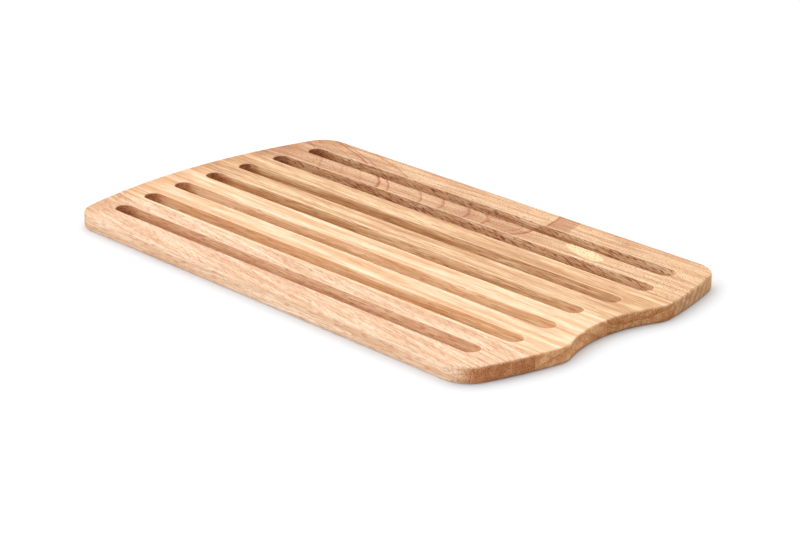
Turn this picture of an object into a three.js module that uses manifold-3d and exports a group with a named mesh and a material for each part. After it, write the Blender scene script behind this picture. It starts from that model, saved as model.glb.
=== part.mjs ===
import * as THREE from 'three';
import { mergeVertices } from 'three/addons/utils/BufferGeometryUtils.js';
import Module from 'manifold-3d';

const wasm = await Module();
wasm.setup();

// A slotted bread board, in millimetres: hardwood staves edge-glued into one flat panel, then shaped and
// milled as one. X runs along the grain and the slots, with the finger notch at the +X end. Y runs across
// the staves, from the front stave to the back one. Z is up, and the board rests on z = 0. While the
// board is being shaped, x = 0 is the crown of its left end, and the staves are centred at the very end.

// The panel
const boardWidth = 252;
const boardThickness = 11.5;
const crownSpan = 445.5; // from the left crown to where the right one would be without the notch
const leftBowRadius = 425; // both ends bow outwards on a slow curve
const rightBowRadius = 350;
const cornerRadius = 22;
const edgeRound = 1.5; // the eased arris round both faces

// The finger notch in the right end
const notchRadius = 104;
const notchDepth = 15; // from the missing crown to the bottom of the notch
const notchShoulderRound = 20; // where the notch runs out into the bow

// The slots, milled right through
const slotCount = 7;
const slotPitch = 32;
const slotWidth = 14; // one pass of the cutter
const slotLipRound = 0.8;
const leftEndBand = 20.5; // wood left between a slot and the left bow
const rightEndBand = 24.5; // wood left between a slot and the right bow
const notchBand = 21.5; // wood left between a slot and the notch

// The glue lines between the staves, each placed from the slot that it runs beside or inside
const frontGlueBand = 4; // wood between the first line and the second slot
const middleGlueOffset = 2; // from the middle of the fourth slot, towards the back
const backGlueInset = 1; // inside the front wall of the sixth slot

// The staves, from the front
const staves = [
  { name: 'front_stave', colour: '#f3d1ad' },
  { name: 'front_middle_stave', colour: '#f7deb8' },
  { name: 'back_middle_stave', colour: '#f5dab4' },
  { name: 'back_stave', colour: '#e6b88c' },
];

// How finely curves are stepped, and how far a cut runs past what it cuts
const bowSteps = 10;
const cornerSteps = 8;
const notchSteps = 9;
const shoulderSteps = 6;
const slotEndSteps = 14;
const roundSteps = 3;
const cutOverrun = 5;

const quarterTurn = Math.PI / 2;
const slotRadius = slotWidth / 2;
const cornerY = boardWidth / 2 - cornerRadius;
const leftBowX = leftBowRadius;
const rightBowX = crownSpan - rightBowRadius;
const notchX = crownSpan - notchDepth + notchRadius;

function slotY(slot) {
  return (slot - (slotCount - 1) / 2) * slotPitch;
}

const glueLines = [
  slotY(1) - slotRadius - frontGlueBand,
  slotY(3) + middleGlueOffset,
  slotY(5) - slotRadius + backGlueInset,
];

// The rounded shoulder lies inside the bow's circle and outside the notch's circle, and touches both.
function shoulderCentre() {
  const toBow = rightBowRadius - notchShoulderRound;
  const toNotch = notchRadius + notchShoulderRound;
  const apart = notchX - rightBowX;
  const along = (apart ** 2 + toBow ** 2 - toNotch ** 2) / (2 * apart);
  return { x: rightBowX + along, y: Math.sqrt(toBow ** 2 - along ** 2) };
}

const shoulder = shoulderCentre();
const boardLength = shoulder.x + notchShoulderRound;

// Points along an arc, each with the direction that faces away from the solid: out of the arc where the
// solid fills it, and towards its centre where it is hollowed into the solid.
function arc(centreX, centreY, radius, startAngle, endAngle, steps, hollow = false) {
  const facing = hollow ? -1 : 1;
  const points = [];
  for (let step = 0; step <= steps; step += 1) {
    const angle = startAngle + (endAngle - startAngle) * (step / steps);
    const alongX = Math.cos(angle);
    const alongY = Math.sin(angle);
    points.push({
      x: centreX + radius * alongX,
      y: centreY + radius * alongY,
      outX: facing * alongX,
      outY: facing * alongY,
    });
  }
  return points;
}

// A corner round touches the straight side and the bow, so the bow hands over to it at this angle.
function cornerReach(bowRadius) {
  const toCorner = bowRadius - cornerRadius;
  const reach = Math.sqrt(toCorner ** 2 - cornerY ** 2);
  return { reach, angle: Math.atan2(cornerY, reach) };
}

// The back half of the outline, from the bottom of the notch round to the left crown.
function backHalfOutline() {
  const right = cornerReach(rightBowRadius);
  const left = cornerReach(leftBowRadius);
  const notchAngle = Math.atan2(shoulder.y, shoulder.x - notchX);
  const bowAngle = Math.atan2(shoulder.y, shoulder.x - rightBowX);
  const leftAngle = Math.PI - left.angle;
  const rightCornerX = rightBowX + right.reach;
  const leftCornerX = leftBowX - left.reach;
  const notch = arc(notchX, 0, notchRadius, Math.PI, notchAngle, notchSteps, true);
  const notchEndAngle = notchAngle - Math.PI;
  const notchEnd = arc(shoulder.x, shoulder.y, notchShoulderRound, notchEndAngle, bowAngle, shoulderSteps);
  const rightBow = arc(rightBowX, 0, rightBowRadius, bowAngle, right.angle, bowSteps);
  const rightCorner = arc(rightCornerX, cornerY, cornerRadius, right.angle, quarterTurn, cornerSteps);
  const leftCorner = arc(leftCornerX, cornerY, cornerRadius, quarterTurn, leftAngle, cornerSteps);
  const leftBow = arc(leftBowX, 0, leftBowRadius, leftAngle, Math.PI, bowSteps);
  return [
    ...notch, ...notchEnd.slice(1), ...rightBow.slice(1), ...rightCorner.slice(1),
    ...leftCorner, ...leftBow.slice(1),
  ];
}

// The front half mirrors the back half, without the two points that both share.
function boardOutline() {
  const backHalf = backHalfOutline();
  const frontHalf = backHalf.slice(1, -1).reverse().map((point) => (
    { x: point.x, y: -point.y, outX: point.outX, outY: -point.outY }
  ));
  return [...backHalf, ...frontHalf];
}

// A slot keeps its band of wood to the bow, or to the notch where that reaches further in.
function slotTips(y) {
  const leftEdge = leftBowX - Math.sqrt(leftBowRadius ** 2 - y ** 2);
  const rightEdge = rightBowX + Math.sqrt(rightBowRadius ** 2 - y ** 2);
  const notchEdge = notchX - Math.sqrt(Math.max(notchRadius ** 2 - y ** 2, 0));
  return {
    left: leftEdge + leftEndBand,
    right: Math.min(rightEdge - rightEndBand, notchEdge - notchBand),
  };
}

function slotOutline(y) {
  const tips = slotTips(y);
  return [
    ...arc(tips.right - slotRadius, y, slotRadius, -quarterTurn, quarterTurn, slotEndSteps),
    ...arc(tips.left + slotRadius, y, slotRadius, quarterTurn, 3 * quarterTurn, slotEndSteps),
  ];
}

// How far the rounded arris has drawn in at each height, from the bottom face to the top one.
function boardLevels() {
  const lower = [];
  for (let step = 0; step <= roundSteps; step += 1) {
    const angle = quarterTurn * (step / roundSteps);
    lower.push({ z: edgeRound * (1 - Math.cos(angle)), outwards: -edgeRound * (1 - Math.sin(angle)) });
  }
  const upper = lower.map((level) => ({ z: boardThickness - level.z, outwards: level.outwards })).reverse();
  return [...lower, ...upper];
}

// A slot's cutter flares at both faces, to leave the rounded lips, and runs on past them.
function slotLevels() {
  const lower = [{ z: -cutOverrun, outwards: slotLipRound }];
  for (let step = 0; step <= roundSteps; step += 1) {
    const angle = quarterTurn * (step / roundSteps);
    lower.push({ z: slotLipRound * (1 - Math.cos(angle)), outwards: slotLipRound * (1 - Math.sin(angle)) });
  }
  const upper = lower.map((level) => ({ z: boardThickness - level.z, outwards: level.outwards })).reverse();
  return [...lower, ...upper];
}

// A closed skin through copies of one outline, each at its own height and moved outwards by its own amount.
function loft(outline, levels) {
  const positions = [];
  for (const level of levels) {
    for (const point of outline) {
      positions.push(point.x + level.outwards * point.outX, point.y + level.outwards * point.outY, level.z);
    }
  }
  const count = outline.length;
  const triangles = [];
  for (let row = 0; row < levels.length - 1; row += 1) {
    for (let column = 0; column < count; column += 1) {
      const here = row * count + column;
      const next = row * count + (column + 1) % count;
      triangles.push(here, next, next + count, here, next + count, here + count);
    }
  }
  const face = outline.map((point) => new THREE.Vector2(point.x, point.y));
  const top = (levels.length - 1) * count;
  for (const [a, b, c] of THREE.ShapeUtils.triangulateShape(face, [])) {
    triangles.push(a, c, b, top + a, top + b, top + c);
  }
  const geometry = new THREE.BufferGeometry();
  geometry.setAttribute('position', new THREE.Float32BufferAttribute(positions, 3));
  geometry.setIndex(triangles);
  return geometry;
}

function toSolid(geometry) {
  const bare = geometry.clone();
  bare.deleteAttribute('normal');
  bare.deleteAttribute('uv');
  const merged = mergeVertices(bare);
  return new wasm.Manifold(new wasm.Mesh({
    numProp: 3,
    vertProperties: new Float32Array(merged.attributes.position.array),
    triVerts: new Uint32Array(merged.index.array),
  }));
}

function toGeometry(solid) {
  const mesh = solid.getMesh();
  const geometry = new THREE.BufferGeometry();
  geometry.setAttribute('position', new THREE.Float32BufferAttribute(mesh.vertProperties, mesh.numProp));
  geometry.setIndex(new THREE.Uint32BufferAttribute(mesh.triVerts, 1));
  geometry.computeVertexNormals();
  return geometry;
}

function slottedPanel() {
  let panel = toSolid(loft(boardOutline(), boardLevels()));
  const levels = slotLevels();
  for (let slot = 0; slot < slotCount; slot += 1) {
    panel = panel.subtract(toSolid(loft(slotOutline(slotY(slot)), levels)));
  }
  return panel;
}

// The block of space that one stave fills, between its two glue lines.
function staveSpace(frontY, backY) {
  const length = boardLength + 2 * cutOverrun;
  const height = boardThickness + 2 * cutOverrun;
  const space = new THREE.BoxGeometry(length, backY - frontY, height);
  space.translate(boardLength / 2, (frontY + backY) / 2, boardThickness / 2);
  return toSolid(space);
}

function staveMesh(stave, solid) {
  const material = new THREE.MeshStandardMaterial({ color: stave.colour, roughness: 0.62, metalness: 0 });
  const mesh = new THREE.Mesh(toGeometry(solid), material);
  mesh.name = stave.name;
  mesh.position.x = -boardLength / 2;
  return mesh;
}

function breadBoard() {
  const board = new THREE.Group();
  board.name = 'bread_board';
  const panel = slottedPanel();
  const beyondEdge = boardWidth / 2 + cutOverrun;
  const bounds = [-beyondEdge, ...glueLines, beyondEdge];
  staves.forEach((stave, index) => {
    const space = staveSpace(bounds[index], bounds[index + 1]);
    board.add(staveMesh(stave, panel.intersect(space)));
  });
  return board;
}

export default breadBoard();
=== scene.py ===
"""A slotted bread board of four edge-glued staves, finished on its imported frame. Lengths are in metres."""
import math

import bpy
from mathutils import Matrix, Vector


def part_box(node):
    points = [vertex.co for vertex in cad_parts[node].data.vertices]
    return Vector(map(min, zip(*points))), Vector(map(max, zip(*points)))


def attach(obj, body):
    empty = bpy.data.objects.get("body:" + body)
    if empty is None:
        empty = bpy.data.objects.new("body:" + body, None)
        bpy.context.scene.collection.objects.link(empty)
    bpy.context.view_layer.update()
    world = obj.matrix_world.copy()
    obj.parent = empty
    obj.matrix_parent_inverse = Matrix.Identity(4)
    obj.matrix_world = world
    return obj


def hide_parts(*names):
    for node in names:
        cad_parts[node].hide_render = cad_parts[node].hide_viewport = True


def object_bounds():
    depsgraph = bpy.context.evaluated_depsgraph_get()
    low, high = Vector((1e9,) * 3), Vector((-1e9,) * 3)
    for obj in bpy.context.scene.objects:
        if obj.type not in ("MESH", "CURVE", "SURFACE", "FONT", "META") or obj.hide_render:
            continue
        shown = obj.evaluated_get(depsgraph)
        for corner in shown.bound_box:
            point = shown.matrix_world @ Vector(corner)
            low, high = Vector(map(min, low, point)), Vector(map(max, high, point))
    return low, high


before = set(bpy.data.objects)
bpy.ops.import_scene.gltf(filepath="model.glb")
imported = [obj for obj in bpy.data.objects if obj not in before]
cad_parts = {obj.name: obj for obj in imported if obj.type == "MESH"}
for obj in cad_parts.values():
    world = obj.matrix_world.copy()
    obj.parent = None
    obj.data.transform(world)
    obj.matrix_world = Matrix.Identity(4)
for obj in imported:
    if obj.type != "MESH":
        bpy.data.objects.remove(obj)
cad_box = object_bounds()

# The board's outline, from its own left crown along the grain
CROWN_SPAN = 0.4455
LEFT_BOW_RADIUS = 0.425
RIGHT_BOW_RADIUS = 0.350
CORNER_RADIUS = 0.022
NOTCH_RADIUS = 0.104
NOTCH_DEPTH = 0.015
SHOULDER_ROUND = 0.020
EDGE_ROUND = 0.0015

# The slots
SLOT_COUNT = 7
SLOT_PITCH = 0.032
SLOT_WIDTH = 0.014
SLOT_LIP_ROUND = 0.0008
LEFT_END_BAND = 0.0205
RIGHT_END_BAND = 0.0245
NOTCH_BAND = 0.0215

# All the slots' walls, and nothing else that is upright, lie inside these
SLOTS_HALF_LENGTH = 0.2045
SLOTS_HALF_WIDTH = 0.104

# How finely curves are stepped, and how the staves are cut, joined and shaded
BOW_STEPS = 48
CORNER_STEPS = 24
NOTCH_STEPS = 36
SHOULDER_STEPS = 20
SLOT_END_POINTS = 72
ROUND_STEPS = 6
CUT_OVERRUN = 0.01
SMOOTH_ANGLE = math.radians(30)
JOIN_DISTANCE = 0.00001
FLAT_FACING = 0.9999

# The camera, as it was fitted to the photograph
IMAGE_WIDTH = 800
FOCAL_PIXELS = 2346.1
SENSOR_WIDTH = 36.0
CAMERA_AZIMUTH = math.radians(46.341)
CAMERA_ELEVATION = math.radians(21.418)
CAMERA_DISTANCE = 1.633
CAMERA_SIGHT = 50.0
AIM = (0.0465, -0.0313, 0.0120)

# The studio: a pale floor under a soft surround, whose lobes each have a side, a spread and a light
FLOOR_SIZE = 12.0
FLOOR_COLOUR = (0.78, 0.78, 0.78, 1.0)
FLOOR_ROUGHNESS = 0.9
FLOOR_SHEEN = 0.1
BASE_LIGHT = (0.25, 0.265, 0.28, 1.0)
SOFT_LOBES = [
    ((-0.65, 0.65, 1.0), 0.75, (2.14, 2.12, 2.10, 1.0)),
    ((-0.30, -1.0, 0.18), 0.36, (2.80, 3.14, 3.52, 1.0)),
]

# The staves from the front, each with the slot of its material
STAVES = {
    "front_stave": "pinkish_wood",
    "front_middle_stave": "pale_wood",
    "back_middle_stave": "cream_wood",
    "back_stave": "flamed_wood",
}

LOW, HIGH = (Vector(corner) for corner in cad_box)
THICKNESS = HIGH.z - LOW.z
LEFT_CROWN = LOW.x
LEFT_BOW_X = LEFT_CROWN + LEFT_BOW_RADIUS
RIGHT_BOW_X = LEFT_CROWN + CROWN_SPAN - RIGHT_BOW_RADIUS
NOTCH_X = LEFT_CROWN + CROWN_SPAN - NOTCH_DEPTH + NOTCH_RADIUS


def arc(centre, radius, start, end, steps):
    """Points along an arc in the plane, both ends included."""
    angles = [start + (end - start) * step / steps for step in range(steps + 1)]
    return [(centre[0] + radius * math.cos(a), centre[1] + radius * math.sin(a)) for a in angles]


def shoulder_centre():
    """The centre of the round that touches the bow from inside and the notch from outside."""
    to_bow = RIGHT_BOW_RADIUS - SHOULDER_ROUND
    to_notch = NOTCH_RADIUS + SHOULDER_ROUND
    apart = NOTCH_X - RIGHT_BOW_X
    along = (apart**2 + to_bow**2 - to_notch**2) / (2 * apart)
    return RIGHT_BOW_X + along, math.sqrt(to_bow**2 - along**2)


def corner_reach(bow_radius, corner_y):
    """How far a corner's centre lies from the bow's centre along the board, and at what angle."""
    reach = math.sqrt((bow_radius - CORNER_RADIUS) ** 2 - corner_y**2)
    return reach, math.atan2(corner_y, reach)


def board_outline():
    """The board's plan, counter-clockwise from the bottom of the notch."""
    corner_y = HIGH.y - CORNER_RADIUS
    right_reach, right_angle = corner_reach(RIGHT_BOW_RADIUS, corner_y)
    left_reach, left_angle = corner_reach(LEFT_BOW_RADIUS, corner_y)
    shoulder = shoulder_centre()
    notch_angle = math.atan2(shoulder[1], shoulder[0] - NOTCH_X)
    bow_angle = math.atan2(shoulder[1], shoulder[0] - RIGHT_BOW_X)
    quarter = math.pi / 2
    right_corner = (RIGHT_BOW_X + right_reach, corner_y)
    left_corner = (LEFT_BOW_X - left_reach, corner_y)
    back = arc((NOTCH_X, 0), NOTCH_RADIUS, math.pi, notch_angle, NOTCH_STEPS)
    back += arc(shoulder, SHOULDER_ROUND, notch_angle - math.pi, bow_angle, SHOULDER_STEPS)[1:]
    back += arc((RIGHT_BOW_X, 0), RIGHT_BOW_RADIUS, bow_angle, right_angle, BOW_STEPS)[1:]
    back += arc(right_corner, CORNER_RADIUS, right_angle, quarter, CORNER_STEPS)[1:]
    back += arc(left_corner, CORNER_RADIUS, quarter, math.pi - left_angle, CORNER_STEPS)
    back += arc((LEFT_BOW_X, 0), LEFT_BOW_RADIUS, math.pi - left_angle, math.pi, BOW_STEPS)[1:]
    front = [(x, -y) for x, y in reversed(back[1:-1])]
    return back + front


def outline_object():
    """The plan as a closed loop of edges, which the stave tree shapes into wood."""
    points = board_outline()
    count = len(points)
    edges = [(index, (index + 1) % count) for index in range(count)]
    mesh = bpy.data.meshes.new("board_plan")
    mesh.from_pydata([(x, y, 0.0) for x, y in points], edges, [])
    plan = bpy.data.objects.new("board_plan", mesh)
    bpy.context.scene.collection.objects.link(plan)
    return plan


NODE_WIDTH = 220
NODE_HEIGHT = 260
NODES_A_ROW = 12


class Builder:
    """Adds nodes to a tree and joins them, for shapes and for materials alike."""

    def __init__(self, tree):
        self.tree = tree
        self.count = 0

    def node(self, kind, links=None, **settings):
        node = self.tree.nodes.new(kind)
        row, column = divmod(self.count, NODES_A_ROW)
        node.location = (NODE_WIDTH * column, -NODE_HEIGHT * row)
        self.count += 1
        for name, value in settings.items():
            setattr(node, name, value)
        for name, value in (links or {}).items():
            self.set(node.inputs[name], value)
        return node

    def set(self, socket, value):
        if isinstance(value, bpy.types.NodeSocket):
            self.tree.links.new(value, socket)
        else:
            socket.default_value = value

    def maths(self, operation, first, second=0.0, **settings):
        return self.node("ShaderNodeMath", {0: first, 1: second}, operation=operation, **settings).outputs[0]

    def add(self, first, second, **settings):
        return self.maths("ADD", first, second, **settings)

    def subtract(self, first, second):
        return self.maths("SUBTRACT", first, second)

    def multiply(self, first, second, **settings):
        return self.maths("MULTIPLY", first, second, **settings)

    def divide(self, first, second):
        return self.maths("DIVIDE", first, second)

    def rest(self, share):
        """What a share leaves of the whole."""
        return self.subtract(1.0, share)

    def vector(self, operation, first, second=(0.0, 0.0, 0.0), output=0):
        node = self.node("ShaderNodeVectorMath", {0: first, 1: second}, operation=operation)
        return node.outputs[output]

    def rotate(self, vector, angle, axis):
        node = self.node("ShaderNodeVectorRotate", {"Vector": vector, "Angle": angle}, rotation_type=axis)
        return node.outputs[0]

    def combine(self, x=0.0, y=0.0, z=0.0):
        return self.node("ShaderNodeCombineXYZ", {0: x, 1: y, 2: z}).outputs[0]

    def separate(self, vector):
        return self.node("ShaderNodeSeparateXYZ", {0: vector}).outputs


def new_tree(name, kind, inputs, outputs):
    """A node tree with named sockets, listed by type, with what it is given and its output node."""
    tree = bpy.data.node_groups.new(name, kind)
    for side, sockets in (("INPUT", inputs), ("OUTPUT", outputs)):
        for socket_type, names in sockets.items():
            for socket in names:
                tree.interface.new_socket(socket, in_out=side, socket_type=socket_type)
    build = Builder(tree)
    given = build.node("NodeGroupInput").outputs
    result = build.node("NodeGroupOutput")
    return build, given, result


FLOAT = "NodeSocketFloat"
INTEGER = "NodeSocketInt"
VECTOR = "NodeSocketVector"
COLOUR = "NodeSocketColor"
GEOMETRY = "NodeSocketGeometry"
MATERIAL = "NodeSocketMaterial"


def wall_profile_tree():
    """The upright wall with a rounded arris at both faces, as a curve: X runs outwards and Y downwards."""
    build, given, result = new_tree(
        "wall_profile",
        "GeometryNodeTree",
        {FLOAT: ("Thickness", "Round", "Side"), INTEGER: ("Steps",)},
        {GEOMETRY: ("Curve",)},
    )
    half = build.add(given["Steps"], 1)
    last = build.subtract(build.multiply(half, 2), 1)
    line = build.node("GeometryNodeMeshLine", {"Count": build.multiply(half, 2)})
    index = build.node("GeometryNodeInputIndex").outputs[0]
    is_lower = build.maths("LESS_THAN", index, half)
    from_end = build.maths("MINIMUM", index, build.subtract(last, index))
    angle = build.multiply(build.divide(from_end, given["Steps"]), math.pi / 2)
    rise = build.multiply(given["Round"], build.rest(build.maths("COSINE", angle)))
    inwards = build.multiply(given["Round"], build.rest(build.maths("SINE", angle)))
    outwards = build.multiply(inwards, given["Side"])
    upper = build.subtract(given["Thickness"], rise)
    lower_share = build.multiply(rise, is_lower)
    upper_share = build.multiply(upper, build.rest(is_lower))
    height = build.add(lower_share, upper_share)
    hanging = build.multiply(height, -1)
    placed = build.node(
        "GeometryNodeSetPosition",
        {"Geometry": line.outputs[0], "Position": build.combine(outwards, hanging, 0.0)},
    )
    curve = build.node("GeometryNodeMeshToCurve", {"Mesh": placed.outputs[0]})
    build.set(result.inputs["Curve"], curve.outputs[0])
    return build.tree


def circle_reach(build, radius, across):
    """How far a circle reaches along the board at a distance across it from its centre."""
    square = build.subtract(build.multiply(radius, radius), build.multiply(across, across))
    return build.maths("SQRT", build.maths("MAXIMUM", square, 0))


SLOT_LENGTHS = (
    "Pitch", "Width", "Left Bow Radius", "Left Bow X", "Left Band", "Right Bow Radius", "Right Bow X",
    "Right Band", "Notch Radius", "Notch X", "Notch Band",
)


def slot_row_tree():
    """The plans of all the slots. Each keeps its band of wood to the bow, or to the notch where that reaches
    further in."""
    build, given, result = new_tree(
        "slot_row",
        "GeometryNodeTree",
        {INTEGER: ("Slots", "End Points"), FLOAT: SLOT_LENGTHS},
        {GEOMETRY: ("Curves",)},
    )
    pitches_forward = build.multiply(build.subtract(given["Slots"], 1), -0.5)
    first = build.multiply(pitches_forward, given["Pitch"])
    row = build.node(
        "GeometryNodeMeshLine",
        {
            "Count": given["Slots"],
            "Start Location": build.combine(0.0, first, 0.0),
            "Offset": build.combine(0.0, given["Pitch"], 0.0),
        },
    )
    radius = build.multiply(given["Width"], 0.5)
    circle = build.node(
        "GeometryNodeCurvePrimitiveCircle",
        {"Resolution": given["End Points"], "Radius": radius},
    )
    half_step = build.divide(math.pi, given["End Points"])
    turned = build.node(
        "GeometryNodeTransform",
        {"Geometry": circle.outputs[0], "Rotation": build.combine(0.0, 0.0, half_step)},
    )
    middle = build.node("GeometryNodeInputPosition").outputs[0]
    kept = build.node(
        "GeometryNodeStoreNamedAttribute",
        {"Geometry": row.outputs[0], "Name": "middle", "Value": middle},
        data_type="FLOAT_VECTOR",
        domain="POINT",
    )
    copies = build.node(
        "GeometryNodeInstanceOnPoints",
        {"Points": kept.outputs[0], "Instance": turned.outputs[0]},
    )
    real = build.node("GeometryNodeRealizeInstances", {"Geometry": copies.outputs[0]})
    stored = build.node("GeometryNodeInputNamedAttribute", {"Name": "middle"}, data_type="FLOAT_VECTOR")
    across = build.separate(stored.outputs[0])[1]
    left_edge = build.subtract(given["Left Bow X"], circle_reach(build, given["Left Bow Radius"], across))
    left_tip = build.add(left_edge, given["Left Band"])
    right_edge = build.add(given["Right Bow X"], circle_reach(build, given["Right Bow Radius"], across))
    notch_edge = build.subtract(given["Notch X"], circle_reach(build, given["Notch Radius"], across))
    right_tip = build.maths(
        "MINIMUM",
        build.subtract(right_edge, given["Right Band"]),
        build.subtract(notch_edge, given["Notch Band"]),
    )
    local = build.separate(build.node("GeometryNodeInputPosition").outputs[0])[0]
    is_right = build.maths("GREATER_THAN", local, 0.0)
    right_shift = build.multiply(is_right, build.subtract(right_tip, radius))
    left_shift = build.multiply(build.rest(is_right), build.add(left_tip, radius))
    shift = build.combine(build.add(right_shift, left_shift), 0.0, 0.0)
    placed = build.node("GeometryNodeSetPosition", {"Geometry": real.outputs[0], "Offset": shift})
    build.set(result.inputs["Curves"], placed.outputs[0])
    return build.tree


def sweep_wall(build, path, given, profile_tree, round_name, side):
    """Sweeps the wall's profile along flat closed paths. The side is -1 round a hole."""
    values = {
        "Thickness": given["Thickness"], "Steps": given["Round Steps"], "Round": given[round_name],
        "Side": side,
    }
    profile = build.node("GeometryNodeGroup", values, node_tree=profile_tree)
    level = build.node("GeometryNodeSetCurveNormal", {"Curve": path}, mode="Z_UP")
    swept = build.node(
        "GeometryNodeCurveToMesh",
        {"Curve": level.outputs[0], "Profile Curve": profile.outputs[0]},
    )
    return swept.outputs[0]


def capped_faces(build, walls, thickness):
    """The flat faces between the walls' open rims, the lower one turned to face down."""
    faces = build.node("GeometryNodeInputMeshEdgeNeighbors").outputs[0]
    is_open = build.maths("LESS_THAN", faces, 2)
    height = build.separate(build.node("GeometryNodeInputPosition").outputs[0])[2]
    is_high = build.maths("GREATER_THAN", height, build.multiply(thickness, 0.5))
    rims = []
    for share, lift in ((is_high, thickness), (build.rest(is_high), 0.0)):
        chosen = build.multiply(is_open, share)
        rim = build.node("GeometryNodeMeshToCurve", {"Mesh": walls, "Selection": chosen})
        face = build.node("GeometryNodeFillCurve", {"Curve": rim.outputs[0]}, mode="TRIANGLES")
        raised = build.node(
            "GeometryNodeTransform",
            {"Geometry": face.outputs[0], "Translation": build.combine(0.0, 0.0, lift)},
        )
        rims.append(raised.outputs[0])
    turned = build.node("GeometryNodeFlipFaces", {"Mesh": rims[1]})
    return rims[0], turned.outputs[0]


STAVE_INPUTS = {
    GEOMETRY: ("Plan",),
    FLOAT: (
        "Thickness", "Edge Round", "Lip Round", *SLOT_LENGTHS, "Front", "Back", "Overrun", "Smooth Angle",
        "Join Distance",
    ),
    INTEGER: ("Round Steps", "Slots", "End Points"),
    MATERIAL: ("Material",),
}


def stave_tree():
    """One stave: the whole board with its eased arrises and slots, cut at the stave's two glue lines."""
    profile_tree = wall_profile_tree()
    row_tree = slot_row_tree()
    build, given, result = new_tree("board_stave", "GeometryNodeTree", STAVE_INPUTS, {GEOMETRY: ("Stave",)})
    plan = build.node("GeometryNodeMeshToCurve", {"Mesh": given["Plan"]})
    outside = sweep_wall(build, plan.outputs[0], given, profile_tree, "Edge Round", -1.0)
    row_values = {name: given[name] for name in ("Slots", "End Points", *SLOT_LENGTHS)}
    row = build.node("GeometryNodeGroup", row_values, node_tree=row_tree)
    slots = sweep_wall(build, row.outputs[0], given, profile_tree, "Lip Round", 1.0)
    outer_wall = build.node("GeometryNodeFlipFaces", {"Mesh": outside})
    walls = build.node("GeometryNodeJoinGeometry")
    build.set(walls.inputs[0], outer_wall.outputs[0])
    build.set(walls.inputs[0], slots)
    top, bottom = capped_faces(build, walls.outputs[0], given["Thickness"])
    shell = build.node("GeometryNodeJoinGeometry")
    for part in (walls.outputs[0], top, bottom):
        build.set(shell.inputs[0], part)
    board = build.node(
        "GeometryNodeMergeByDistance",
        {"Geometry": shell.outputs[0], "Distance": given["Join Distance"]},
    )

    # The block that holds the stave. Twice the bow's radius is longer than the board, so no end is cut.
    length = build.multiply(given["Left Bow Radius"], 2.0)
    depth = build.subtract(given["Back"], given["Front"])
    height = build.add(given["Thickness"], build.multiply(given["Overrun"], 2.0))
    block = build.node("GeometryNodeMeshCube", {"Size": build.combine(length, depth, height)})
    middle = build.multiply(build.add(given["Front"], given["Back"]), 0.5)
    half_height = build.multiply(given["Thickness"], 0.5)
    space = build.node(
        "GeometryNodeTransform",
        {"Geometry": block.outputs[0], "Translation": build.combine(0.0, middle, half_height)},
    )
    shared = build.node("GeometryNodeMeshBoolean", operation="INTERSECT", solver="EXACT")
    build.set(shared.inputs["Mesh 2"], board.outputs[0])
    build.set(shared.inputs["Mesh 2"], space.outputs[0])

    # The flat faces stay flat, and every edge sharper than the smooth angle stays a crease
    normal = build.separate(build.node("GeometryNodeInputNormal").outputs[0])
    upright = build.maths("ABSOLUTE", normal[2])
    is_round = build.maths("LESS_THAN", upright, FLAT_FACING)
    smooth = build.node(
        "GeometryNodeSetShadeSmooth",
        {"Geometry": shared.outputs[0], "Shade Smooth": is_round},
        domain="FACE",
    )
    angle = build.node("GeometryNodeInputMeshEdgeAngle").outputs[0]
    is_sharp = build.maths("GREATER_THAN", angle, given["Smooth Angle"])
    creased = build.node(
        "GeometryNodeSetShadeSmooth",
        {"Geometry": smooth.outputs[0], "Selection": is_sharp, "Shade Smooth": False},
        domain="EDGE",
    )
    real = build.node("GeometryNodeRealizeInstances", {"Geometry": creased.outputs[0]})
    finished = build.node(
        "GeometryNodeSetMaterial",
        {"Geometry": real.outputs[0], "Material": given["Material"]},
    )
    build.set(result.inputs["Stave"], finished.outputs[0])
    return build.tree


BOARD_SIZES = {
    "Thickness": THICKNESS, "Edge Round": EDGE_ROUND, "Lip Round": SLOT_LIP_ROUND, "Round Steps": ROUND_STEPS,
    "Slots": SLOT_COUNT, "Pitch": SLOT_PITCH, "Width": SLOT_WIDTH, "End Points": SLOT_END_POINTS,
    "Left Bow Radius": LEFT_BOW_RADIUS, "Left Bow X": LEFT_BOW_X, "Left Band": LEFT_END_BAND,
    "Right Bow Radius": RIGHT_BOW_RADIUS, "Right Bow X": RIGHT_BOW_X, "Right Band": RIGHT_END_BAND,
    "Notch Radius": NOTCH_RADIUS, "Notch X": NOTCH_X, "Notch Band": NOTCH_BAND,
    "Overrun": CUT_OVERRUN, "Smooth Angle": SMOOTH_ANGLE, "Join Distance": JOIN_DISTANCE,
}


def finished_stave(plan, tree, node, material, front, back):
    """Evaluates the tree for one stave and leaves a plain mesh in the place of its CAD node."""
    maker = bpy.data.objects.new("stave_maker", plan.data)
    bpy.context.scene.collection.objects.link(maker)
    shaping = maker.modifiers.new("shaping", "NODES")
    shaping.node_group = tree
    sockets = {item.name: item.identifier for item in tree.interface.items_tree if item.in_out == "INPUT"}
    for name, value in dict(BOARD_SIZES, Front=front, Back=back, Material=material).items():
        shaping[sockets[name]] = value
    evaluated = maker.evaluated_get(bpy.context.evaluated_depsgraph_get())
    mesh = bpy.data.meshes.new_from_object(evaluated)
    bpy.data.objects.remove(maker)
    mesh.name = "finished_" + node
    piece = bpy.data.objects.new("finished_" + node, mesh)
    bpy.context.scene.collection.objects.link(piece)
    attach(piece, "root")
    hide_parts(node)
    return piece


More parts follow.
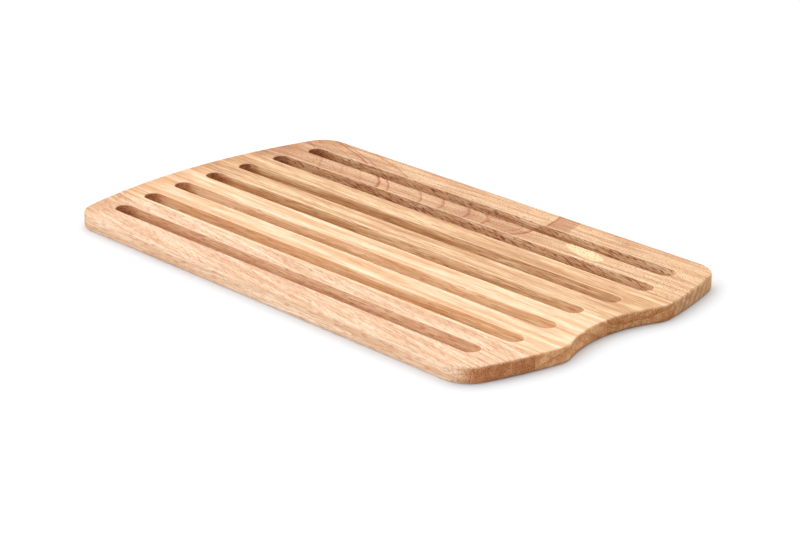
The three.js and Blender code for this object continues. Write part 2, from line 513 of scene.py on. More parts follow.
# Each pattern of noise: where it starts, in its own lengths, so that no two follow each other, how many finer
# layers it has, and how rough they are
PATTERNS = {
    "sway": (3.7, 1.0, 0.5),
    "stray rings": (8.1, 2.0, 0.5),
    "broad fibres": (1.3, 3.0, 0.6),
    "fine fibres": (5.9, 2.0, 0.55),
    "pores": (2.4, 1.0, 0.4),
    "pore drift": (7.7, 2.0, 0.5),
    "mottle": (6.6, 2.0, 0.5),
    "ragged rim": (0.0, 2.0, 0.5),
    "stray flames": (4.2, 2.0, 0.5),
}

# The length along the grain and the width across it of the patterns that are the same in all the staves
STRAY_RING_SIZE = (0.11, 0.03)
PORE_DRIFT_SIZE = (0.05, 0.009)
MOTTLE_SIZE = (0.012, 0.003)
RAGGED_RIM_SIZE = (0.012, 0.004)
STRAY_FLAME_SIZE = (0.030, 0.012)

# The grain that is the same in all the staves. A share is of the length, width or strength that it is named
# after, and a range runs from where noise is taken as nothing to where it is taken as all.
SWAY_LENGTH = 0.12
SWAY_WIDTH_SHARE = 0.35
SWAY_RISE_SHARE = 0.6
RING_SHARPNESS = 3.0
RING_DROP = (0.90, 1.0)
RING_TONE_SHARE = 0.35
FIBRE_LENGTH = 0.12
FINE_LENGTH_SHARE = 0.22
FINE_WIDTH_SHARE = 0.11
BROAD_FIBRE_RANGE = (0.36, 0.64)
FINE_FIBRE_RANGE = (0.38, 0.68)
PORE_EDGE = 0.07
SIDE_DIP_LOSS = 0.6
RAGGED_RIM_SHARE = 0.3

# The part of a face's normal along X, Y or Z, without its sign, over which each of its masks rises or falls
UPRIGHT_RANGE = (0.35, 0.9)
ROUND_RISE_RANGE = (0.05, 0.45)
ROUND_FALL_RANGE = (0.75, 0.99)
END_GRAIN_RANGE = (0.3, 0.9)
LONG_SIDE_RANGE = (0.70, 0.71)

# How much more or less the worked faces show than the flat ones, and how strong and wide their own marks are
WALL_FIGURE_LOSS = 0.4
WALL_RING_GAIN = 0.4
END_RING_GAIN = 1.7
WALL_FIBRE_GAIN = 0.3
# Painted shade at each slot's left end: how dark it is, and over what length it fades along the wall
SLOT_SHADE_SHARE = 0.55
SLOT_SHADE_FADE = 0.02
# How many end bands long the darkening of the board's left end is
DARKER_END_BANDS = 1.6
ARRIS_SHARE = 0.12
# Painted highlight on the slot lips: how much of the pale arris tint they take
LIP_HIGHLIGHT_SHARE = 0.55
SEAM_WIDTH = 0.0003
SEAM_CORE_SHARE = 0.3
SEAM_SHARE = 0.8

# The oiled surface
BASE_ROUGHNESS = 0.50
PORE_ROUGHNESS = 0.25
END_ROUGHNESS = 0.12
FIBRE_ROUGHNESS = 0.12
FIBRE_RELIEF = 0.25
RELIEF_STRENGTH = 0.35
RELIEF_DEPTH = 0.0002
SHEEN = 0.08


def smooth_step(build, value, low, high, to_low=0.0, to_high=1.0):
    """A soft step up, from nothing to all, as a value crosses a range."""
    node = build.node(
        "ShaderNodeMapRange",
        {"Value": value, "From Min": low, "From Max": high, "To Min": to_low, "To Max": to_high},
        interpolation_type="SMOOTHSTEP",
    )
    return node.outputs[0]


def smooth_drop(build, value, low, high):
    """A soft step down, from all to nothing."""
    return smooth_step(build, value, low, high, 1.0, 0.0)


def swing(build, share, width):
    """Takes a share to either side of nothing, as wide as is asked."""
    return build.multiply(build.subtract(share, 0.5), width)


def streaks(build, position, pattern, length, width, slant=0.0, dip=0.0):
    """A pattern of noise drawn out along the grain, which may slant across the board and dip into it."""
    start, layers, roughness = PATTERNS[pattern]
    level = build.rotate(position, dip, "Y_AXIS")
    x, y, z = build.separate(build.rotate(level, slant, "Z_AXIS"))
    lengthways = build.add(build.divide(x, length), start)
    place = build.combine(lengthways, build.divide(y, width), build.divide(z, width))
    node = build.node(
        "ShaderNodeTexNoise",
        {"Vector": place, "Scale": 1.0, "Detail": layers, "Roughness": roughness},
    )
    return node.outputs[0]


# The mixing node keeps its sockets for colours behind those for numbers and vectors
MIX_SHARE, MIX_FIRST, MIX_SECOND = 0, 6, 7
MIXED_COLOUR = 2


def mix_colour(build, share, first, second, blend="MIX"):
    values = {MIX_SHARE: share, MIX_FIRST: first, MIX_SECOND: second}
    return build.node("ShaderNodeMix", values, data_type="RGBA", blend_type=blend).outputs[MIXED_COLOUR]


def grain_bend_tree():
    """Bends the grain's path, so that fibres, rings and pores all sway together."""
    build, given, result = new_tree(
        "grain_bend",
        "ShaderNodeTree",
        {VECTOR: ("Position",), FLOAT: ("Sway", "Sway Length", "Across")},
        {VECTOR: ("Position",)},
    )
    width = build.multiply(given["Sway Length"], SWAY_WIDTH_SHARE)
    lift = swing(build, streaks(build, given["Position"], "sway", given["Sway Length"], width), given["Sway"])
    sway = build.combine(0.0, build.multiply(lift, given["Across"]), build.multiply(lift, SWAY_RISE_SHARE))
    build.set(result.inputs["Position"], build.vector("ADD", given["Position"], sway))
    return build.tree


def year_rings_tree():
    """Year rings as tubes round a leaning pith: arches where the face runs across them, lines along them."""
    build, given, result = new_tree(
        "year_rings",
        "ShaderNodeTree",
        {
            VECTOR: ("Position",),
            FLOAT: ("Pith Y", "Pith Height", "Lean", "Ring Width", "Wander", "Sharpness"),
        },
        {FLOAT: ("Late Wood", "Ring Tone")},
    )
    x, y, z = build.separate(given["Position"])
    height = build.subtract(build.subtract(z, given["Pith Height"]), build.multiply(x, given["Lean"]))
    across = build.subtract(y, given["Pith Y"])
    radius = build.vector("LENGTH", build.combine(0.0, across, height), output=1)
    wander = swing(build, streaks(build, given["Position"], "stray rings", *STRAY_RING_SIZE), given["Wander"])
    phase = build.divide(build.add(radius, wander), given["Ring Width"])
    share = build.maths("FRACT", phase)
    rise = build.maths("POWER", share, given["Sharpness"])
    tone = build.node("ShaderNodeTexWhiteNoise", {"W": build.maths("FLOOR", phase)}, noise_dimensions="1D")
    build.set(result.inputs["Late Wood"], build.multiply(rise, smooth_drop(build, share, *RING_DROP)))
    build.set(result.inputs["Ring Tone"], tone.outputs[0])
    return build.tree


def wood_fibres_tree():
    """Streaks along the grain, broad and fine."""
    build, given, result = new_tree(
        "wood_fibres",
        "ShaderNodeTree",
        {VECTOR: ("Position",), FLOAT: ("Slant", "Length", "Width")},
        {FLOAT: ("Broad", "Fine")},
    )
    position, slant = given["Position"], given["Slant"]
    broad = streaks(build, position, "broad fibres", given["Length"], given["Width"], slant)
    fine_length = build.multiply(given["Length"], FINE_LENGTH_SHARE)
    fine_width = build.multiply(given["Width"], FINE_WIDTH_SHARE)
    fine = streaks(build, position, "fine fibres", fine_length, fine_width, slant)
    build.set(result.inputs["Broad"], broad)
    build.set(result.inputs["Fine"], fine)
    return build.tree


def open_pores_tree():
    """Open pores: short dark dashes along the grain, and dots where the grain ends. They come in drifts."""
    build, given, result = new_tree(
        "open_pores",
        "ShaderNodeTree",
        {VECTOR: ("Position",), FLOAT: ("Slant", "Length", "Width", "Level", "Drift", "Dip")},
        {FLOAT: ("Pore",)},
    )
    position, slant = given["Position"], given["Slant"]
    dashes = streaks(build, position, "pores", given["Length"], given["Width"], slant, given["Dip"])
    drift = streaks(build, position, "pore drift", *PORE_DRIFT_SIZE, slant)
    level = build.add(given["Level"], swing(build, drift, given["Drift"]))
    build.set(result.inputs["Pore"], smooth_step(build, dashes, level, build.add(level, PORE_EDGE)))
    return build.tree


def worked_faces_tree():
    """Tells end grain, the slots' milled walls, the eased arrises and the long sides from the flat faces."""
    build, given, result = new_tree(
        "worked_faces",
        "ShaderNodeTree",
        {VECTOR: ("Position", "Normal"), FLOAT: ("Slots Half Length", "Slots Half Width")},
        {FLOAT: ("End Grain", "Slot Wall", "Slot Lip", "Arris", "Long Side")},
    )
    place = build.separate(build.vector("ABSOLUTE", given["Position"]))
    facing = build.separate(build.vector("ABSOLUTE", given["Normal"]))
    in_length = build.maths("LESS_THAN", place[0], given["Slots Half Length"])
    in_width = build.maths("LESS_THAN", place[1], given["Slots Half Width"])
    in_slots = build.multiply(in_length, in_width)
    upright = smooth_drop(build, facing[2], *UPRIGHT_RANGE)
    rising = smooth_step(build, facing[2], *ROUND_RISE_RANGE)
    rounded = build.multiply(rising, smooth_drop(build, facing[2], *ROUND_FALL_RANGE))
    build.set(result.inputs["End Grain"], smooth_step(build, facing[0], *END_GRAIN_RANGE))
    build.set(result.inputs["Slot Wall"], build.multiply(upright, in_slots))
    build.set(result.inputs["Slot Lip"], build.multiply(rounded, in_slots))
    build.set(result.inputs["Arris"], build.multiply(rounded, build.rest(in_slots)))
    build.set(result.inputs["Long Side"], smooth_step(build, facing[1], *LONG_SIDE_RANGE))
    return build.tree


def left_end_darkening_tree():
    """Painted shade on the slot walls at the left end of each slot, where the end lip shades them and the
    curved end wall's end grain is darker, fading along the wall. The board's own left end is made a little
    darker."""
    build, given, result = new_tree(
        "left_end_darkening",
        "ShaderNodeTree",
        {VECTOR: ("Position",), FLOAT: ("Bow Radius", "Bow X", "Band", "Fade")},
        {FLOAT: ("Slot Shade", "Darker End")},
    )
    parts = build.separate(given["Position"])
    edge = build.subtract(given["Bow X"], circle_reach(build, given["Bow Radius"], parts[1]))
    from_edge = build.subtract(parts[0], edge)
    from_tip = build.subtract(from_edge, given["Band"])
    uneven = swing(build, streaks(build, given["Position"], "mottle", *MOTTLE_SIZE), given["Fade"])
    slot_shade = smooth_drop(build, build.add(from_tip, uneven), 0.0, given["Fade"])
    darker_length = build.multiply(given["Band"], DARKER_END_BANDS)
    darker_end = smooth_drop(build, build.add(from_edge, uneven), 0.0, darker_length)
    build.set(result.inputs["Slot Shade"], slot_shade)
    build.set(result.inputs["Darker End"], darker_end)
    return build.tree


def glue_seams_tree():
    """A hair-thin dark line where a stave meets its neighbours."""
    build, given, result = new_tree(
        "glue_seams",
        "ShaderNodeTree",
        {VECTOR: ("Position",), FLOAT: ("Front", "Back", "Width")},
        {FLOAT: ("Seam",)},
    )
    across = build.separate(given["Position"])[1]
    to_front = build.maths("ABSOLUTE", build.subtract(across, given["Front"]))
    to_back = build.maths("ABSOLUTE", build.subtract(across, given["Back"]))
    nearest = build.maths("MINIMUM", to_front, to_back)
    core = build.multiply(given["Width"], SEAM_CORE_SHARE)
    build.set(result.inputs["Seam"], smooth_drop(build, nearest, core, given["Width"]))
    return build.tree


WOOD_INPUTS = {
    VECTOR: ("Position", "Normal"),
    COLOUR: (
        "Light Wood", "Dark Wood", "Late Wood", "Figure Tint", "Sap Colour", "Pore Colour", "Wall Shade Tint",
        "End Tint", "Arris Tint", "Slot Shade Tint", "Darker End Tint",
    ),
    FLOAT: (
        "Figure", "Sapwood", "Pith Y", "Pith Height", "Lean", "Ring Width", "Ring Strength", "Wander", "Sway",
        "Slant", "Fibre Width", "Fibre Strength", "Pore Length", "Pore Width", "Pore Level", "Pore Drift",
        "Pore Slant", "Pore Dip", "Pore Strength", "Wall Pores", "End Pores", "Front Seam", "Back Seam",
    ),
}


def oiled_wood_tree(groups):
    """Oiled hardwood from its rings, fibres, pores and worked faces: colour, roughness and height."""
    build, given, result = new_tree(
        "oiled_wood",
        "ShaderNodeTree",
        WOOD_INPUTS,
        {COLOUR: ("Colour",), FLOAT: ("Roughness", "Height")},
    )

    def place(name, values, same=()):
        """One of the groups, with its values and with the sockets that are the whole wood's own."""
        links = {**values, **{socket: given[socket] for socket in same}}
        return build.node("ShaderNodeGroup", links, node_tree=groups[name]).outputs

    def lay(colour, share, name, blend="MIX"):
        """Lays one of the wood's colours over what is there."""
        return mix_colour(build, share, colour, given[name], blend)

    slots = {"Slots Half Length": SLOTS_HALF_LENGTH, "Slots Half Width": SLOTS_HALF_WIDTH}
    faces = place("worked_faces", slots, ("Position", "Normal"))
    on_wall, on_end, on_side = (faces[name] for name in ("Slot Wall", "End Grain", "Long Side"))
    off_wall, off_side = build.rest(on_wall), build.rest(on_side)
    bend = {"Sway Length": SWAY_LENGTH, "Across": off_side}
    bent = place("grain_bend", bend, ("Position", "Sway"))["Position"]
    rings = place(
        "year_rings",
        {"Position": bent, "Sharpness": RING_SHARPNESS},
        ("Pith Y", "Pith Height", "Lean", "Ring Width", "Wander"),
    )
    fibre_slant = build.multiply(given["Slant"], off_side)
    streak = {"Position": bent, "Slant": fibre_slant, "Length": FIBRE_LENGTH, "Width": given["Fibre Width"]}
    fibres = place("wood_fibres", streak)
    pore = {name: given["Pore " + name] for name in ("Length", "Width", "Level", "Drift")}
    pore["Slant"] = build.multiply(given["Pore Slant"], off_side)
    pore["Dip"] = build.multiply(given["Pore Dip"], build.rest(build.multiply(on_side, SIDE_DIP_LOSS)))
    pores = place("open_pores", {"Position": bent, **pore})["Pore"]
    left_end = {"Bow Radius": LEFT_BOW_RADIUS, "Bow X": LEFT_BOW_X, "Band": LEFT_END_BAND}
    ends = place("left_end_darkening", {**left_end, "Fade": SLOT_SHADE_FADE}, ("Position",))
    lines = {"Front": given["Front Seam"], "Back": given["Back Seam"], "Width": SEAM_WIDTH}
    seam = build.multiply(place("glue_seams", lines, ("Position",))["Seam"], SEAM_SHARE)

    broad = smooth_step(build, fibres["Broad"], *BROAD_FIBRE_RANGE)
    tone = build.add(broad, swing(build, rings["Ring Tone"], RING_TONE_SHARE), use_clamp=True)
    colour = mix_colour(build, tone, given["Light Wood"], given["Dark Wood"])
    figure = build.multiply(given["Figure"], build.rest(build.multiply(on_wall, WALL_FIGURE_LOSS)))
    colour = lay(colour, figure, "Figure Tint", "MULTIPLY")
    colour = lay(colour, given["Sapwood"], "Sap Colour")
    late = build.multiply(rings["Late Wood"], given["Ring Strength"])
    late = build.multiply(late, build.rest(given["Sapwood"]))
    wall_rings = build.multiply(on_wall, WALL_RING_GAIN)
    cut_rings = build.maths("MAXIMUM", build.multiply(on_end, END_RING_GAIN), wall_rings)
    colour = lay(colour, build.multiply(late, build.add(1.0, cut_rings)), "Late Wood")
    fine = smooth_step(build, fibres["Fine"], *FINE_FIBRE_RANGE)
    wall_fibres = build.add(1.0, build.multiply(on_wall, WALL_FIBRE_GAIN))
    fine_share = build.multiply(fine, build.multiply(given["Fibre Strength"], wall_fibres))
    colour = lay(colour, fine_share, "Dark Wood", "MULTIPLY")

    extra_wall = build.multiply(on_wall, given["Wall Pores"])
    extra_end = build.multiply(on_end, given["End Pores"])
    strength = build.add(given["Pore Strength"], build.add(extra_wall, extra_end))
    pore_share = build.multiply(pores, strength, use_clamp=True)
    colour = lay(colour, pore_share, "Pore Colour")
    # Painted shade: the slot walls made a little darker and warmer, for the shade and warm bounced light
    # inside the narrow slots
    colour = lay(colour, on_wall, "Wall Shade Tint", "MULTIPLY")
    # Painted shade on the slot walls at each slot's left end, partly for the darker end grain there
    slot_shade = build.multiply(build.multiply(on_wall, ends["Slot Shade"]), SLOT_SHADE_SHARE)
    colour = lay(colour, slot_shade, "Slot Shade Tint", "MULTIPLY")
    # A little darker towards the board's left end, on everything but the slot walls
    colour = lay(colour, build.multiply(ends["Darker End"], off_wall), "Darker End Tint", "MULTIPLY")
    colour = lay(colour, build.multiply(on_end, off_wall), "End Tint", "MULTIPLY")
    # Painted highlight along the slot lips from the pale arris tint; the outer arrises are made a little
    # paler too
    lip_highlight = build.multiply(faces["Slot Lip"], LIP_HIGHLIGHT_SHARE)
    colour = lay(colour, build.add(build.multiply(faces["Arris"], ARRIS_SHARE), lip_highlight), "Arris Tint")
    build.set(result.inputs["Colour"], lay(colour, seam, "Pore Colour"))

    rough = build.add(BASE_ROUGHNESS, build.multiply(pore_share, PORE_ROUGHNESS))
    rough = build.add(rough, build.multiply(on_end, END_ROUGHNESS))
    build.set(result.inputs["Roughness"], build.add(rough, swing(build, fibres["Fine"], FIBRE_ROUGHNESS)))
    relief = build.subtract(build.multiply(fibres["Fine"], FIBRE_RELIEF), pore_share)
    build.set(result.inputs["Height"], build.subtract(relief, seam))
    return build.tree


def oval_patch_tree():
    """A patch of other wood: an oval, turned, with a ragged soft rim, that runs right through the stave."""
    lengths = ("Middle X", "Middle Y", "Turn", "Half Length", "Half Width", "Softness", "Strength")
    build, given, result = new_tree(
        "oval_patch",
        "ShaderNodeTree",
        {VECTOR: ("Position",), FLOAT: lengths},
        {FLOAT: ("Patch",)},
    )
    middle = build.combine(given["Middle X"], given["Middle Y"], 0.0)
    parts = build.separate(build.vector("SUBTRACT", given["Position"], middle))
    flat = build.combine(parts[0], parts[1], 0.0)
    sides = build.separate(build.rotate(flat, given["Turn"], "Z_AXIS"))
    lengthways = build.divide(sides[0], given["Half Length"])
    sideways = build.divide(sides[1], given["Half Width"])
    spread = build.vector("LENGTH", build.combine(lengthways, sideways, 0.0), output=1)
    ragged = streaks(build, given["Position"], "ragged rim", *RAGGED_RIM_SIZE)
    rim = build.add(spread, swing(build, ragged, RAGGED_RIM_SHARE))
    fade = smooth_drop(build, rim, 1.0, build.add(1.0, given["Softness"]))
    build.set(result.inputs["Patch"], build.multiply(fade, given["Strength"]))
    return build.tree


def patch(build, tree, position, values):
    return build.node("ShaderNodeGroup", {"Position": position, **values}, node_tree=tree).outputs[0]


# How a flame darkens towards its tip: distances from there along the board, each with a share of strength.
# Past the tip it drops back within the rim. The blend is how softly a set of flames ends across the board.
FLAME_RISE = ((-0.008, 0.28), (-0.0026, 0.40), (-0.0018, 1.0), (0.0, 1.0))
FLAME_RIM = 0.0006
FLAME_BLEND = 0.002
FIRST_FLAME_SHARE = 0.4


def length_share(x):
    """A place along the board as a share of its length, which is what a ramp's stops are set by."""
    return (x - LOW.x) / (HIGH.x - LOW.x)


def flame_figure(build, position, values):
    """Brown flames across a stave: each front is an arch with a sharp dark rim that fades behind it."""
    x, y, z = build.separate(position)
    sideways = build.subtract(y, values["spine"])
    arch = build.divide(build.multiply(sideways, sideways), values["arch_width"])
    stray = swing(build, streaks(build, position, "stray flames", *STRAY_FLAME_SIZE), values["stray"])
    dive = build.multiply(build.subtract(THICKNESS, z), values["dive"])
    place = build.add(build.add(build.add(x, arch), stray), dive)
    share = build.divide(build.subtract(place, LOW.x), HIGH.x - LOW.x)
    ramp = build.node("ShaderNodeValToRGB", {"Fac": share})
    stops = ramp.color_ramp.elements
    # A new ramp has two stops already
    for index, (at, strength) in enumerate(values["stops"]):
        stop = stops[index] if index < 2 else stops.new(length_share(at))
        stop.position = length_share(at)
        stop.color = (strength, strength, strength, 1.0)
    past_front = smooth_step(build, y, values["front"] - FLAME_BLEND, values["front"] + FLAME_BLEND)
    before_back = smooth_drop(build, y, values["back"] - FLAME_BLEND, values["back"] + FLAME_BLEND)
    return build.multiply(build.multiply(past_front, before_back), ramp.outputs[0])


def paint(red, green, blue):
    """A colour as it looks on a screen, in counts of 255, turned into the light that it gives back."""
    shares = [count / 255 for count in (red, green, blue)]
    linear = [share / 12.92 if share <= 0.04045 else ((share + 0.055) / 1.055) ** 2.4 for share in shares]
    return (*linear, 1.0)


def flame_stops(fronts, quiet, last):
    """Ramp stops for arched flame fronts: each darkens slowly, ends in a thin rim and drops back to what
    is left between them, which fades out behind the last one."""
    stops = [(LOW.x, fronts[0][1] * FIRST_FLAME_SHARE)]
    for tip, strength in fronts:
        stops += [(tip + behind, strength * share) for behind, share in FLAME_RISE]
        stops.append((tip + FLAME_RIM, quiet))
    return stops + [(last, 0.0)]


def glue_line(node, side):
    """Where a stave ends across the board, at its front or at its back."""
    low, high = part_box(node)
    return low[1] if side == "front" else high[1]


FRONT_GLUE = glue_line("front_middle_stave", "front")
MIDDLE_GLUE = glue_line("back_middle_stave", "front")
BACK_GLUE = glue_line("back_stave", "front")
OUT_OF_REACH = 1.0

# The second of these tints paints the shade at the slots' left ends, and the third darkens the board's left
# end
SHARED_TINTS = {
    "Figure Tint": paint(186, 124, 78), "Slot Shade Tint": paint(208, 144, 92),
    "Darker End Tint": paint(238, 226, 212),
}

WOODS = {
    "front_stave": {
        "Light Wood": paint(240, 211, 180), "Dark Wood": paint(218, 178, 143),
        "Late Wood": paint(196, 138, 96), "Sap Colour": paint(250, 228, 196),
        "Pore Colour": paint(178, 104, 68), "Wall Shade Tint": paint(255, 246, 236),
        "End Tint": paint(236, 200, 166), "Arris Tint": paint(250, 222, 190),
        "Pith Y": -0.150, "Pith Height": 0.060, "Lean": 0.03, "Ring Width": 0.009, "Ring Strength": 0.22,
        "Wander": 0.006, "Sway": 0.003,
        "Slant": 0.14, "Fibre Width": 0.006, "Fibre Strength": 0.50,
        "Pore Length": 0.0085, "Pore Width": 0.0007, "Pore Level": 0.55, "Pore Drift": 0.05,
        "Pore Slant": 0.24, "Pore Dip": -0.05, "Pore Strength": 0.48, "Wall Pores": 0.05, "End Pores": 0.70,
        "Front Seam": -OUT_OF_REACH, "Back Seam": FRONT_GLUE,
    },
    "front_middle_stave": {
        "Light Wood": paint(247, 216, 181), "Dark Wood": paint(222, 176, 132),
        "Late Wood": paint(196, 136, 84), "Sap Colour": paint(252, 232, 200),
        "Pore Colour": paint(176, 116, 72), "Wall Shade Tint": paint(255, 252, 246),
        "End Tint": paint(254, 230, 206), "Arris Tint": paint(252, 226, 194),
        "Pith Y": -0.040, "Pith Height": -0.050, "Lean": -0.05, "Ring Width": 0.008, "Ring Strength": 0.30,
        "Wander": 0.008, "Sway": 0.004,
        "Slant": 0.02, "Fibre Width": 0.006, "Fibre Strength": 0.40,
        "Pore Length": 0.010, "Pore Width": 0.0007, "Pore Level": 0.60, "Pore Drift": 0.08,
        "Pore Slant": 0.03, "Pore Dip": 0.0, "Pore Strength": 0.34, "Wall Pores": 0.10, "End Pores": 0.35,
        "Front Seam": FRONT_GLUE, "Back Seam": MIDDLE_GLUE,
    },
    "back_middle_stave": {
        "Light Wood": paint(237, 202, 160), "Dark Wood": paint(205, 158, 112),
        "Late Wood": paint(176, 118, 72), "Sap Colour": paint(252, 232, 200),
        "Pore Colour": paint(160, 104, 64), "Wall Shade Tint": paint(255, 255, 252),
        "End Tint": paint(254, 230, 206), "Arris Tint": paint(250, 224, 192),
        "Pith Y": 0.030, "Pith Height": 0.080, "Lean": 0.04, "Ring Width": 0.007, "Ring Strength": 0.34,
        "Wander": 0.008, "Sway": 0.004,
        "Slant": 0.02, "Fibre Width": 0.0045, "Fibre Strength": 0.52,
        "Pore Length": 0.014, "Pore Width": 0.0006, "Pore Level": 0.57, "Pore Drift": 0.10,
        "Pore Slant": 0.08, "Pore Dip": 0.0, "Pore Strength": 0.50, "Wall Pores": 0.15, "End Pores": 0.90,
        "Front Seam": MIDDLE_GLUE, "Back Seam": BACK_GLUE,
    },
    "back_stave": {
        "Light Wood": paint(236, 203, 163), "Dark Wood": paint(209, 165, 123),
        "Late Wood": paint(184, 124, 76), "Sap Colour": paint(250, 218, 172),
        "Pore Colour": paint(124, 64, 36), "Wall Shade Tint": paint(255, 255, 255),
        "End Tint": paint(255, 248, 236), "Arris Tint": paint(244, 214, 182),
        "Pith Y": 0.150, "Pith Height": -0.045, "Lean": -0.02, "Ring Width": 0.006, "Ring Strength": 0.34,
        "Wander": 0.010, "Sway": 0.010,
        "Slant": -0.02, "Fibre Width": 0.005, "Fibre Strength": 0.65,
        "Pore Length": 0.0065, "Pore Width": 0.0007, "Pore Level": 0.56, "Pore Drift": 0.10,
        "Pore Slant": 0.40, "Pore Dip": -0.65, "Pore Strength": 0.50, "Wall Pores": 0.34,
        "End Pores": -0.40,
        "Front Seam": BACK_GLUE, "Back Seam": OUT_OF_REACH,
    },
}


def oval(middle_x, middle_y, degrees, half_length, half_width, softness, strength):
    return {
        "Middle X": middle_x, "Middle Y": middle_y, "Turn": math.radians(degrees), "Half Length": half_length,
        "Half Width": half_width, "Softness": softness, "Strength": strength,
    }


SAP_LENS = oval(0.1165, 0.0825, 13, 0.0195, 0.0062, 0.10, 1.0)
DARK_END = oval(-0.1780, 0.0860, -10, 0.0360, 0.0200, 0.60, 0.22)

# Each set of flames keeps between its front and its back. Its stops are places along the spine, each with how
# dark the figure is there. Quiet is what is left between two fronts, and last is where that has faded out.
FLAMES = [
    {
        "spine": 0.062, "arch_width": 0.037, "stray": 0.007, "dive": 3.5,
        "front": -OUT_OF_REACH, "back": OUT_OF_REACH,
        "stops": flame_stops(
            [
                (-0.150, 0.55), (-0.126, 0.50), (-0.104, 0.55), (-0.0842, 1.00), (-0.0732, 0.95),
                (-0.0374, 0.75),
            ],
            quiet=0.12,
            last=0.125,
        ),
    },
    {
        "spine": 0.070, "arch_width": 0.030, "stray": 0.010, "dive": 4.0,
        "front": -OUT_OF_REACH, "back": 0.096,
        "stops": flame_stops([(-0.0200, 0.85), (0.0060, 0.90), (0.0260, 0.70)], quiet=0.34, last=0.1),
    },
    {
        "spine": 0.083, "arch_width": 0.025, "stray": 0.004, "dive": 5.0,
        "front": -OUT_OF_REACH, "back": 0.096,
        "stops": [
            (-0.010, 0.0), (0.035, 0.34), (0.0500, 0.44), (0.0512, 0.78), (0.0530, 0.34), (0.0584, 0.42),
            (0.0592, 1.0), (0.0612, 1.0), (0.0618, 0.03), (0.1280, 0.04), (0.1360, 0.06), (0.1900, 0.0),
        ],
    },
    {
        "spine": 0.100, "arch_width": 0.100, "stray": 0.004, "dive": 2.0,
        "front": 0.096, "back": OUT_OF_REACH,
        "stops": [
            (-0.020, 0.0), (0.030, 0.08), (0.0596, 0.03), (0.0604, 1.0), (0.0622, 0.58), (0.0800, 0.52),
            (0.0812, 0.02), (0.1240, 0.03), (0.1265, 0.16), (0.1500, 0.02), (0.1720, 0.06), (0.1900, 0.0),
        ],
    },
]


def wood_material(node, wood_tree):
    """One stave's wood. The back stave's flames and sapwood are added to what all four share."""
    material = bpy.data.materials.new("finished_" + STAVES[node])
    material.use_nodes = True
    build = Builder(material.node_tree)
    shader = material.node_tree.nodes["Principled BSDF"]
    place = build.node("ShaderNodeTexCoord").outputs
    values = {"Position": place["Object"], "Normal": place["Normal"], **SHARED_TINTS, **WOODS[node]}
    wood = build.node("ShaderNodeGroup", values, node_tree=wood_tree)
    if node == "back_stave":
        patch_tree = oval_patch_tree()
        figure = patch(build, patch_tree, place["Object"], DARK_END)
        for flames in FLAMES:
            figure = build.maths("MAXIMUM", figure, flame_figure(build, place["Object"], flames))
        build.set(wood.inputs["Figure"], figure)
        build.set(wood.inputs["Sapwood"], patch(build, patch_tree, place["Object"], SAP_LENS))
    build.set(shader.inputs["Base Color"], wood.outputs["Colour"])
    build.set(shader.inputs["Roughness"], wood.outputs["Roughness"])
    relief = build.node(
        "ShaderNodeBump",
        {"Height": wood.outputs["Height"], "Strength": RELIEF_STRENGTH, "Distance": RELIEF_DEPTH},
    )
    build.set(shader.inputs["Normal"], relief.outputs[0])
    build.set(shader.inputs["Specular IOR Level"], SHEEN)
    return material


def make_board():
    plan = outline_object()
    shape_tree = stave_tree()
    wood_tree = oiled_wood_tree({
        "grain_bend": grain_bend_tree(), "year_rings": year_rings_tree(), "wood_fibres": wood_fibres_tree(),
        "open_pores": open_pores_tree(), "worked_faces": worked_faces_tree(), "glue_seams": glue_seams_tree(),
        "left_end_darkening": left_end_darkening_tree(),
    })
    for node, slot in STAVES.items():
        material = wood_material(node, wood_tree)
        front, back = glue_line(node, "front"), glue_line(node, "back")
        piece = finished_stave(plan, shape_tree, node, material, front, back)
    bpy.data.objects.remove(plan)


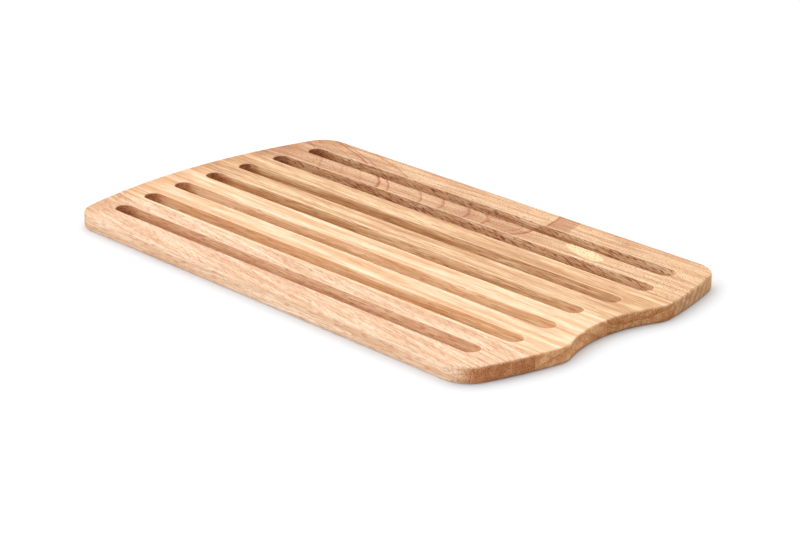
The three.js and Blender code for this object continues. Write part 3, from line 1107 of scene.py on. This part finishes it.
def photograph_camera():
    aim = Vector(AIM)
    level = math.cos(CAMERA_ELEVATION)
    back = Vector((
        math.sin(CAMERA_AZIMUTH) * level,
        -math.cos(CAMERA_AZIMUTH) * level,
        math.sin(CAMERA_ELEVATION),
    ))
    data = bpy.data.cameras.new("photograph_camera")
    data.sensor_width = SENSOR_WIDTH
    data.sensor_fit = "HORIZONTAL"
    data.lens = FOCAL_PIXELS / IMAGE_WIDTH * SENSOR_WIDTH
    data.clip_end = CAMERA_SIGHT
    camera = bpy.data.objects.new("photograph_camera", data)
    camera.location = aim + back * CAMERA_DISTANCE
    camera.rotation_euler = (-back).to_track_quat("-Z", "Y").to_euler()
    bpy.context.scene.collection.objects.link(camera)
    bpy.context.scene.camera = camera


def soft_lobe(build, direction, facing, spread):
    """How much of one side's light comes from a direction, fading over a wide angle."""
    towards = build.vector("DOT_PRODUCT", direction, Vector(facing).normalized(), output=1)
    return smooth_step(build, towards, 1.0 - spread, 1.0)


def surround():
    """A white surround: most light from above the back left corner, some cooler light low from the front."""
    world = bpy.data.worlds.new("soft_surround")
    world.use_nodes = True
    build = Builder(world.node_tree)
    direction = build.node("ShaderNodeTexCoord").outputs["Generated"]
    total = BASE_LIGHT
    for facing, spread, light in SOFT_LOBES:
        total = mix_colour(build, soft_lobe(build, direction, facing, spread), total, light, "ADD")
    background = world.node_tree.nodes["Background"]
    build.set(background.inputs["Color"], total)
    bpy.context.scene.world = world


def pale_floor():
    mesh = bpy.data.meshes.new("floor")
    half = FLOOR_SIZE / 2
    corners = [(-half, -half, 0.0), (half, -half, 0.0), (half, half, 0.0), (-half, half, 0.0)]
    mesh.from_pydata(corners, [], [(0, 1, 2, 3)])
    floor = bpy.data.objects.new("floor", mesh)
    bpy.context.scene.collection.objects.link(floor)
    material = bpy.data.materials.new("pale_floor")
    material.use_nodes = True
    shader = material.node_tree.nodes["Principled BSDF"]
    shader.inputs["Base Color"].default_value = FLOOR_COLOUR
    shader.inputs["Roughness"].default_value = FLOOR_ROUGHNESS
    shader.inputs["Specular IOR Level"].default_value = FLOOR_SHEEN
    mesh.materials.append(material)


def studio():
    bpy.context.scene.view_settings.view_transform = "Standard"
    pale_floor()
    surround()


photograph_camera()
make_board()
studio()
